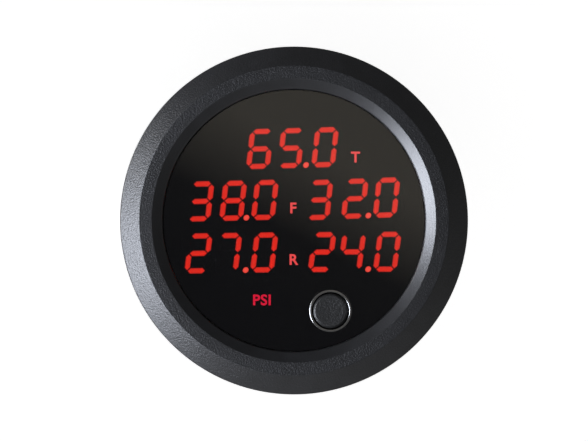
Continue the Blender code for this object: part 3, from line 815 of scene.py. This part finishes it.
def make_power_socket():
    """A shrouded three-pin inlet: thin walls with a rounded mouth, keys on one side and a latch window."""
    low, high, centre = span("power_socket")
    wall, depth, lip, inner_lip = 0.8, 3.4, 0.12, 0.25

    def ring(inset, z, radius):
        size = (high.x - low.x - 2 * inset, high.y - low.y - 2 * inset)
        return rounded_rectangle(centre, size, radius, z)

    sections = [ring(0.3, high.z, 0.3), ring(0.0, high.z - 0.3, 0.5), ring(0.0, low.z + lip, 0.5)]
    turns = [pi / 2 * i / 5 for i in range(1, 6)]
    for turn in turns:
        sections.append(ring(lip - lip * cos(turn), low.z + lip - lip * sin(turn), 0.45))
    for turn in turns:
        z = low.z + inner_lip - inner_lip * cos(turn)
        sections.append(ring(wall - inner_lip + inner_lip * sin(turn), z, 0.35))
    sections.append(ring(wall, low.z + depth, 0.35))
    window = rounded_box((3.0, 2.0, 1.4), (centre.x, high.y, low.z + 1.9))
    parts = [carved(loft(sections), window)]
    for x in (-2.2, 2.2):
        place = (centre.x + x, low.y + wall + 0.15, low.z + depth / 2 + 0.35)
        parts.append(rounded_box((0.7, 0.7, depth - 0.6), place, 0.1))
    piece("power_inlet", joined(*parts), HOUSING, "power_socket", slot="black_plastic")
    for i in (1, 2, 3):
        low, high, centre = span(f"socket_pin_{i}")
        width = high.x - low.x
        levels = [(width * 0.45, low.z), (width * 0.8, low.z + 0.25), (width, low.z + 0.55), (width, high.z)]
        pin = loft([rounded_rectangle(centre, (w, w), 0.08, z) for w, z in levels])
        piece(f"inlet_pin_{i}", pin, BRASS, f"socket_pin_{i}")


# -------- clamp, studs, washers and nuts


def make_strap():
    """A steel strap bent up at both ends, lofted along its middle line, with a hole for each stud."""
    thickness = 1.0
    base_half, leg_half = 4.25, STRAP_HIGH.y
    base_z = STRAP_LOW.z + thickness / 2
    leg_x = STRAP_HIGH.x - thickness / 2
    bend, corner, edge = 1.3, 0.9, 0.16
    flat = leg_x - bend
    bend_end = flat + bend * pi / 2
    leg_start = base_z + bend
    leg_length = STRAP_HIGH.z - leg_start
    total = bend_end + leg_length

    def place(s):
        """Point and outward normal on the middle line, s along it from the strap's centre."""
        side = 1 if s >= 0 else -1
        s = abs(s)
        if s <= flat:
            return Vector((side * s, 0, base_z)), Vector((0, 0, -1))
        if s <= bend_end:
            angle = (s - flat) / bend
            point = Vector((side * (flat + bend * sin(angle)), 0, base_z + bend - bend * cos(angle)))
            return point, Vector((side * sin(angle), 0, -cos(angle)))
        return Vector((side * leg_x, 0, leg_start + s - bend_end)), Vector((side, 0, 0))

    def half_width(s):
        """The leg widens just past the bend, and its corners are round."""
        s = abs(s)
        share = min(max((s - flat - bend * pi / 2 * 0.9) / 2.2, 0.0), 1.0)
        share = share * share * (3 - 2 * share)
        width = base_half + (leg_half - base_half) * share
        from_tip = total - s
        if from_tip < corner:
            width -= corner - sqrt(corner**2 - (corner - from_tip) ** 2)
        return width

    stations = [flat * i / 12 for i in range(13)]
    stations += [flat + bend * pi / 2 * i / 10 for i in range(1, 11)]
    stations += [bend_end + (leg_length - corner) * i / 16 for i in range(1, 17)]
    stations += [total - corner + corner * sin(pi / 2 * i / 8) for i in range(1, 9)]
    sections = []
    for s in [-s for s in reversed(stations[1:])] + stations:
        point, normal = place(s)
        outline = oblong(2 * half_width(s), thickness, edge, 30.0)
        sections.append([tuple(point + Vector((0, y, 0)) + normal * t) for y, t in outline])
    holes = [hole(STUD_AT[side], 1.75, base_z - 2, base_z + 2) for side in SIDES]
    piece("strap_clamp", carved(loft(sections), *holes), ZINC, "clamp_bracket", "clamp")


def groove(z, angle, pitch, depth):
    """How far a right-hand thread's surface lies below its crest, at this height and angle."""
    return depth * abs(2 * ((z / pitch - angle / TURN) % 1.0) - 1)


def thread_levels(bottom, top, pitch=THREAD_PITCH):
    """Heights down a thread, eight for each turn."""
    count = max(2, round((top - bottom) / pitch * 8))
    return [top + (bottom - top) * i / count for i in range(count + 1)]


def hexagon(across):
    """A lathe's shape that cuts a round of this corner radius to six flats."""

    def shape(radius, z, angle):
        return min(radius, across * cos(pi / 6) / cos((angle + pi / 6) % (pi / 3) - pi / 6))

    return shape


def make_studs():
    """Threaded studs with hexagon heads inside the housing."""
    point_length = 0.4
    across = 5.5 / sqrt(3)
    for side in SIDES:
        low, high, _ = span(f"stud_{side}")
        at = STUD_AT[side]

        def shape(radius, z, angle):
            tip = STUD_RADIUS - max(0.0, low.z + point_length - z)
            return min(STUD_RADIUS - groove(z, angle, THREAD_PITCH, THREAD_DEPTH), tip)

        rod_top, head_bottom = high.z - 1.6, high.z - 2.0
        levels = thread_levels(low.z, rod_top)
        profile = [(0.0, rod_top)] + [(STUD_RADIUS, z) for z in levels] + [(0.0, low.z)]
        corners = [
            (0.0, high.z, 0),
            (across * 0.9, high.z, 0),
            (across, high.z - 0.25, 0),
            (across, head_bottom, 0.05),
            (0.0, head_bottom, 0),
        ]
        head = turned(corners, at=at, shape=hexagon(across))
        mesh = joined(head, lathe(profile, even_angles(40), at, shape=shape))
        piece(f"threaded_stud_{side}", mesh, NICKEL, f"stud_{side}", sharp=50.0)


def make_nuts():
    """Turned thumb nuts: waisted neck, straight-knurled head and a threaded bore."""
    teeth, depth, per_tooth = 50, 0.3, 8
    knurl_radius = 5.04
    clearance = 0.06
    neck, sweep = 2.65, 1.9
    for side in SIDES:
        low, high, _ = span(f"thumb_nut_{side}")
        corners = [(neck - 0.25, high.z, 0), (neck, high.z - 0.2, 0)]
        for i in range(19):
            angle = pi + pi / 2 * i / 18
            corners.append((neck + sweep + sweep * cos(angle), low.z + 5.1 + sweep * sin(angle), 0))
        corners += [
            (knurl_radius - 0.12, low.z + 3.0, 0.15),
            (knurl_radius, low.z + 2.75, 0.1),
            (knurl_radius, low.z + 0.45, 0.06),
            (knurl_radius - 0.42, low.z, 0.06),
            (2.1, low.z, 0.05),
            (1.75, low.z + 0.3, 0.05),
        ]
        outside = filleted(corners, closed=False, step=8.0)
        profile = []
        for (r0, z0), (r1, z1) in zip(outside, outside[1:]):
            on_knurl = min(r0, r1) > 4.5 and z0 - z1 < 0.6
            parts = max(1, ceil(abs(z1 - z0) / 0.12)) if on_knurl else 1
            profile += [(r0 + (r1 - r0) * k / parts, z0 + (z1 - z0) * k / parts) for k in range(parts)]
        profile.append(outside[-1])
        profile += [(STUD_RADIUS, z) for z in reversed(thread_levels(low.z + 0.3, high.z - 0.1))]

        def shape(radius, z, angle):
            if radius <= STUD_RADIUS + 1e-6:
                return STUD_RADIUS + clearance - groove(z, angle, THREAD_PITCH, THREAD_DEPTH)
            if radius < 4.4:
                return radius
            ridge = abs(2 * ((angle * teeth / TURN) % 1.0) - 1)
            return min(radius, knurl_radius - depth * min(1.0, max(0.0, (ridge - 0.12) / 0.76)))

        mesh = lathe(profile, even_angles(teeth * per_tooth), STUD_AT[side], closed=True, shape=shape)
        piece(f"knurled_nut_{side}", mesh, NICKEL, f"thumb_nut_{side}", f"{side}_nut", sharp=40.0)


def make_washers():
    """A plain washer and a split spring washer over each nut."""
    bore, lean, opening, steps = 1.65, 0.22, 0.11, 90
    for side in SIDES:
        at = STUD_AT[side]
        low, high, _ = span(f"flat_washer_{side}")
        outer = high.x - at.x
        corners = [(bore, high.z, 0.05), (outer, high.z, 0.15), (outer, low.z, 0.06), (bore, low.z, 0.12)]
        mesh = turned(corners, at=at, closed=True)
        piece(f"plain_washer_{side}", mesh, NICKEL, f"flat_washer_{side}", "clamp")
        low, high, _ = span(f"lock_washer_{side}")
        outer, middle = 3.1, (low.z + high.z) / 2
        corners = [(bore, high.z, 0.07), (outer, high.z, 0.07), (outer, low.z, 0.07), (bore, low.z, 0.07)]
        outline = filleted(corners, step=30.0)
        sections = []
        for i in range(steps + 1):
            angle = -pi / 2 + opening / 2 + (TURN - opening) * i / steps
            section = []
            for radius, z in outline:
                twist = angle + lean * (z - middle)
                section.append((at[0] + radius * cos(twist), at[1] + radius * sin(twist), z))
            sections.append(section)
        piece(f"split_washer_{side}", loft(sections), NICKEL, f"lock_washer_{side}", "clamp")


# -------- inside the case


def lead_mesh(path, width, thickness=0.2):
    """A flat lead of sheet metal through points (place, along, z) of a plane across its row."""
    sections = []
    for i, (place, along, z) in enumerate(path):
        before, after = path[max(i - 1, 0)], path[min(i + 1, len(path) - 1)]
        run = Vector((after[1] - before[1], after[2] - before[2])).normalized() * thickness / 2
        low, high = (along + run.y, z - run.x), (along - run.y, z + run.x)
        left, right = place - width / 2, place + width / 2
        sections.append([(left, *low), (right, *low), (right, *high), (left, *high)])
    return loft(sections)


def leads_mesh(node, places, body_half, sides, width):
    """Gull-wing leads on some sides of a chip: each side is a turn about the chip's middle."""
    low, high, centre = span(node)
    reach = (high.y - low.y) / 2
    foot = low.z + 0.11
    shoulder = body_half + (reach - body_half) * 0.4
    leads = []
    for quarter in sides:
        turn = quarter * pi / 2
        for place in places:
            path = [(place, body_half - 0.2, centre.z), (place, shoulder, centre.z)]
            path += [(place, shoulder + 0.15, foot), (place, reach, foot)]
            lead = lead_mesh(path, width)
            for vertex in lead.vertices:
                x, y, _ = vertex.co
                vertex.co.x = centre.x * MM + x * cos(turn) - y * sin(turn)
                vertex.co.y = centre.y * MM + x * sin(turn) + y * cos(turn)
            leads.append(lead)
    return joined(*leads)


def make_chips():
    """The microcontroller with leads on four sides, and the regulator with three leads and a wide tab."""
    lift = 0.1  # between a chip's body and its board
    node = "microcontroller"
    low, high, centre = span(node)
    body = 5.4
    size = (body, body, high.z - low.z - lift)
    case = rounded_box(size, (centre.x, centre.y, centre.z + lift / 2), 0.12, 2)
    mark = hole((centre.x - 2.0, centre.y + 2.0), 0.35, high.z - 0.08, high.z + 1, 32)
    piece("controller", carved(case, mark), COMPONENT_BLACK, node)
    places = [(i - 3.5) * 0.6 for i in range(8)]
    leads = leads_mesh(node, places, body / 2, range(4), 0.28)
    piece("controller_leads", leads, ZINC, weighted=False)
    node = "voltage_regulator"
    low, high, centre = span(node)
    body = 2.0
    size = (high.x - low.x - 0.1, body, high.z - low.z - lift)
    case = rounded_box(size, (centre.x, centre.y, centre.z + lift / 2), 0.15, 2)
    piece("regulator", case, COMPONENT_BLACK, node)
    pins = leads_mesh(node, (-2.3, 0.0, 2.3), body / 2, (2,), 0.7)
    tab = leads_mesh(node, (0.0,), body / 2, (0,), 3.0)
    piece("regulator_leads", joined(pins, tab), ZINC, weighted=False)


def make_radio_module():
    """A small green board under a folded metal shield with a dimple in each corner and vent holes."""
    low, high, centre = span("radio_module")
    thickness = 0.8
    width, length = high.x - low.x, high.y - low.y
    board = rounded_box((width, length, thickness), (centre.x, centre.y, low.z + thickness / 2), 0.08, 2)
    piece("radio_board", board, BOARD)
    bottom = low.z + thickness + 0.02
    size = (width - 0.9, length - 0.9, high.z - bottom)
    shield = rounded_box(size, (centre.x, centre.y, (high.z + bottom) / 2), 0.22)
    tools = [hole(at, 0.4, high.z - 0.1, high.z + 1, 24) for at in four(centre, 3.0, 2.0)]
    for x in (-1.2, 0.0, 1.2):
        tools.append(hole((centre.x + x, centre.y), 0.25, high.z - 0.5, high.z + 1, 24))
    piece("radio_shield", carved(shield, *tools), ZINC, "radio_module")


def make_coils_and_cans():
    """The wound inductor, the electrolytic capacitor with its vent cross, and the sounder."""
    low, high, centre = span("inductor")
    plate, gap, radius, core = 0.5, 0.02, 2.3, 1.9
    base = rounded_box((5.0, 5.0, plate), (centre.x, centre.y, low.z + plate / 2), 0.1, 2)
    plate_low = high.z - plate
    ferrite = joined(base, disc(centre.xy, radius, plate_low, high.z, 64, 0.15, 0.08))
    piece("inductor_core", ferrite, COMPONENT_BLACK, "inductor")
    rows, steps = 6, 8
    top, bottom = plate_low - gap, low.z + plate + gap
    pitch = (top - bottom) / rows
    winding = [(0.0, top)]
    for i in range(rows):
        for k in range(1, steps):
            z = top - pitch * (i + k / steps)
            winding.append((core + pitch / 2 * sin(pi * k / steps), z))
    winding.append((0.0, bottom))
    piece("inductor_winding", lathe(winding, even_angles(64), centre.xy), BRASS)

    low, high, centre = span("capacitor")
    radius = high.x - centre.x
    vent_z = high.z - 0.12
    corners = [
        (0.0, vent_z, 0),
        (radius - 0.75, vent_z, 0.1),
        (radius - 0.6, high.z, 0.1),
        (radius, high.z, 0.5),
        (radius, low.z + 1.4, 0.3),
        (radius - 0.35, low.z + 1.05, 0.2),
        (radius, low.z + 0.7, 0.2),
        (radius, low.z, 0.1),
        (0.0, low.z, 0),
    ]
    cross = [(3.2, 0.16, 0.16), (0.16, 3.2, 0.16)]
    grooves = [rounded_box(size, (*centre.xy, vent_z), 0.03, 1) for size in cross]
    can = carved(turned(corners, at=centre.xy), *grooves)
    piece("capacitor_can", can, ALUMINIUM, "capacitor")

    low, high, centre = span("buzzer")
    radius, bore = high.x - centre.x, 0.8
    corners = [
        (bore, high.z - 0.3, 0.1),
        (1.5, high.z, 0.1),
        (radius - 0.7, high.z, 0.1),
        (radius - 0.6, high.z - 0.15, 0.05),
        (radius, high.z - 0.2, 0.25),
        (radius, low.z + 0.8, 0.05),
        (radius - 0.2, low.z + 0.7, 0.05),
        (radius - 0.2, low.z, 0.1),
        (bore, low.z, 0.05),
    ]
    piece("sounder", turned(corners, at=centre.xy, closed=True), COMPONENT_BLACK, "buzzer")


def make_board_fasteners():
    """Hexagonal brass spacers, and long screws with cross recesses and threaded shanks."""
    bore, shank, pitch, depth = 1.1, 0.95, 0.4, 0.14
    for i in (1, 2, 3):
        low, high, centre = span(f"board_spacer_{i}")
        across = high.x - centre.x
        edge = across * 0.88
        profile = [(bore, high.z), (edge, high.z), (across, high.z - 0.2)]
        profile += [(across, low.z + 0.2), (edge, low.z), (bore, low.z)]
        spacer = lathe(profile, even_angles(72), centre.xy, closed=True, shape=hexagon(across))
        piece(f"hex_spacer_{i}", spacer, BRASS, f"board_spacer_{i}")

        low, high, _ = span(f"board_screw_{i}")
        head, head_bottom, thread_top = high.x - centre.x, high.z - 1.2, low.z + 5.0

        def shape(radius, z, angle):
            if z > thread_top or radius > shank:
                return radius
            return max(0.05, min(shank - groove(z, angle, pitch, depth), (z - low.z) * 1.9))

        corners = [(0.0, high.z, 0), (head, high.z, 0.5), (head, head_bottom, 0.08), (shank, head_bottom, 0)]
        levels = thread_levels(low.z, thread_top, pitch)
        profile = filleted(corners, closed=False) + [(shank, z) for z in levels] + [(0.0, low.z)]
        screw = lathe(profile, even_angles(36), centre.xy, shape=shape)
        wings = [(2.3, 0.42, 1.4), (0.42, 2.3, 1.4)]
        recess = [rounded_box(size, (*centre.xy, high.z), 0.08, 1) for size in wings]
        piece(f"long_screw_{i}", carved(screw, *recess), ZINC, f"board_screw_{i}")


def make_switch():
    """The push switch: moulded base, riveted steel cover and a plunger that moves with the button."""
    low, high, centre = span("tact_switch")
    at = centre.xy
    cover_bottom = high.z - 0.3
    rivet_bottom = cover_bottom + 0.15
    plunger_low, plunger_high, middle = span("switch_plunger")
    size = (high.x - low.x, high.y - low.y, cover_bottom - 0.02 - low.z)
    base = rounded_box(size, (*at, low.z + size[2] / 2), 0.25)
    base = carved(base, hole(at, 1.8, plunger_low.z - 0.75, high.z + 1, 48))
    piece("switch_base", base, COMPONENT_BLACK, "tact_switch")
    cover = rounded_box((5.7, 5.7, 0.2), (*at, cover_bottom + 0.1), 0.08, 2)
    parts = [carved(cover, hole(at, 1.9, low.z, high.z + 1, 48))]
    corners = [(0.0, high.z, 0), (0.4, high.z, 0.1), (0.45, rivet_bottom, 0)]
    profile = filleted(corners, closed=False) + [(0.0, rivet_bottom)]
    parts += [lathe(profile, even_angles(24), place) for place in four(centre, 2.2, 2.2)]
    piece("switch_cover", joined(*parts), ZINC)
    radius = plunger_high.x - middle.x
    plunger = disc(middle.xy, radius, plunger_low.z, plunger_high.z, 48, 0.3, 0.1)
    piece("plunger", plunger, BUTTON_TOP, "switch_plunger", "button")


def make_headers():
    """The board-to-board header: two notched strips, with a square contact hole at each of six places."""
    pitch, notch = 2.5, 0.25
    steps = [(i - 2.5) * pitch for i in range(6)]
    for node, name in (("pin_header", "header_strip"), ("header_socket", "socket_strip")):
        low, high, centre = span(node)
        outline = []
        for side, edge in ((1, high.x), (-1, low.x)):
            for step in steps:
                y = centre.y + side * step
                reach = side * pitch / 2
                outline += [(edge - side * notch, y - reach), (edge, y - reach * 0.6)]
                outline += [(edge, y + reach * 0.6), (edge - side * notch, y + reach)]
        body = plates([outline], (0.0, low.z), (0.0, high.z))
        places = [(centre.x, centre.y + step, high.z) for step in steps]
        tools = [rounded_box((0.7, 0.7, 1.6), place, 0.08, 1) for place in places]
        piece(name, carved(body, *tools), COMPONENT_BLACK, node)


def dress_kept_nodes():
    """The pieces kept as the CAD has them only get their materials."""
    kept = {
        RUBBER: ("lens_gasket", "bezel_seal"),
        MASK_INK: ("display_mask",),
        BOARD: ("display_board", "main_board"),
        BRASS: ("antenna_coil",),
    }
    for material, nodes in kept.items():
        for node in nodes:
            slots = frame["nodes"][node].data.materials
            slots.clear()
            slots.append(material)


# -------- stage


def dim_beyond(surface, near, far, level):
    """From near to far metres out the floor grows dimmer in reflections, as a small table would: painted
    shade, a dim emission that glossy rays see in place of the lit floor.
    """
    beyond = surface.spread(surface.length(surface.place), near, far)
    glossy = surface.node("LightPath").outputs["Is Glossy Ray"]
    mix = surface.node("MixShader", Fac=surface.maths("MULTIPLY", glossy, beyond))
    dim = surface.node("Emission", Color=(1.0, 1.0, 1.0, 1.0), Strength=level)
    surface.feed(mix.inputs[1], surface.shader.outputs[0])
    surface.feed(mix.inputs[2], dim.outputs[0])
    surface.feed(surface.tree.nodes["Material Output"].inputs["Surface"], mix.outputs[0])


def make_floor():
    """A pale floor, low enough for the nuts to come down to the ends of their studs."""
    half, gap = 3.0, 0.0001
    joints = {joint["name"]: joint for joint in frame["record"]["behaviour"]["joints"]}
    z = -joints["clamp_slide"]["range_m"][1] - gap
    mesh = bpy.data.meshes.new("floor")
    corners = [(-half, -half, z), (half, -half, z), (half, half, z), (-half, half, z)]
    mesh.from_pydata(corners, [], [(0, 1, 2, 3)])
    floor = add_object("floor", mesh)
    paper = Surface("pale_floor", Roughness=0.8, Emission_Color=(1, 1, 1, 1), Emission_Strength=0.8)
    paper.colour(paper.noise(60.0), (0.3, 0.84), (0.7, 0.87))
    # painted shade in reflections: past 15 mm the metal parts mirror a dim floor
    dim_beyond(paper, 0.015, 0.045, 0.25)
    mesh.materials.append(paper.material)
    floor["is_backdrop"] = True
    return floor


def make_area_light(name, azimuth, elevation, size, radiance, colour=(1.0, 1.0, 1.0), distance=0.5):
    """A soft box at a compass angle and height, aimed at the display's face; distances in metres."""
    data = bpy.data.lights.new(name, "AREA")
    data.shape = "RECTANGLE"
    data.size, data.size_y = size
    data.energy = radiance * pi * size[0] * size[1]
    data.color = colour
    light = add_object(name, data)
    a, e = radians(azimuth), radians(elevation)
    toward = Vector((cos(a) * cos(e), sin(a) * cos(e), sin(e)))
    light.location = Vector((0.0, 0.0, TOP_Z * MM)) + toward * distance
    light.rotation_mode = "QUATERNION"
    light.rotation_quaternion = toward.to_track_quat("Z", "Y")
    light.visible_camera = False
    return light


def keep_off(light, obj):
    """Stops a light from reaching one object."""
    spared = bpy.data.collections.new(f"not_lit_by_{light.name}")
    spared.objects.link(obj)
    spared.collection_objects[0].light_linking.link_state = "EXCLUDE"
    light.light_linking.receiver_collection = spared


def make_world():
    """A white room with a darker band above its horizon, dimmer to the upper right of the display,
    and a window overhead whose soft edge crosses the display from corner to corner."""
    world = bpy.data.worlds.new("studio")
    bpy.context.scene.world = world
    world.use_nodes = True
    s = Nodes(world.node_tree)
    place = s.node("TexCoord").outputs["Generated"]

    def along(direction, low, high):
        """How far the view points along a direction, as 0 at low and 1 at high."""
        way = Vector(direction).normalized()
        return s.spread(s.maths("DOT_PRODUCT", place, way, kind="VectorMath"), low, high)

    up, across, toward_window = (0, 0, 1), (0.5, 0.87, 0), (0.5, 1, 0)
    bands = [(0.0, 0.85), (0.22, 0.78), (0.42, 0.46), (0.7, 0.34), (0.9, 0.22), (1.0, 0.22)]
    room = s.ramp(along(up, 0.0, 1.0), *bands)
    side = s.ramp(along(across, -0.85, 0.85), (0.0, 1.15), (0.5, 0.8), (1.0, 0.33))
    panes = [(0.0, (0.11, 0.11, 0.125)), (0.45, (0.13, 0.13, 0.14)), (1.0, (0.72, 0.67, 0.58))]
    overhead = s.ramp(along(toward_window, -0.035, 0.03), *panes)
    shaded = s.mix("RGBA", 1.0, room, side, "MULTIPLY")
    lit = s.mix("RGBA", along(up, 0.985, 0.995), shaded, overhead)
    white = s.ramp(along(up, 0.0, 1.0), (0.0, 1.0), (1.0, 1.0))
    seen = s.mix("RGBA", s.node("LightPath").outputs["Is Camera Ray"], lit, white)
    s.feed(s.tree.nodes["Background"].inputs["Color"], seen)


def make_camera():
    """Looks straight down at the display, which it draws as wide as the photo does."""
    image_width, drawn_width = 588, 350
    data = bpy.data.cameras.new("camera")
    data.lens = 150.0
    data.sensor_width = 36.0
    distance = 2 * BEZEL_RADIUS * MM * image_width / drawn_width * data.lens / data.sensor_width
    camera = add_object("camera", data)
    camera.location = (0.0, 0.0, TOP_Z * MM + distance)
    bpy.context.scene.camera = camera


def make_stage():
    floor = make_floor()
    make_world()
    key = make_area_light("key", 193, 33, (0.34, 0.28), 32.0, (0.93, 0.98, 1.1))
    strip = make_area_light("strip", 160, 5, (0.06, 0.09), 34.0)
    for light in (key, strip):
        keep_off(light, floor)
    make_camera()
    scene = bpy.context.scene
    scene.view_settings.view_transform = "Standard"
    scene.view_settings.look = "None"
    scene.cycles.max_bounces = 12


make_bezel()
make_window()
make_display()
make_legends()
make_button()
make_housing()
make_power_socket()
make_strap()
make_studs()
make_nuts()
make_washers()
make_chips()
make_radio_module()
make_coils_and_cans()
make_board_fasteners()
make_switch()
make_headers()
dress_kept_nodes()
make_stage()

boxes = [[list(corner) for corner in box] for box in (CAD_BOX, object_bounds())]
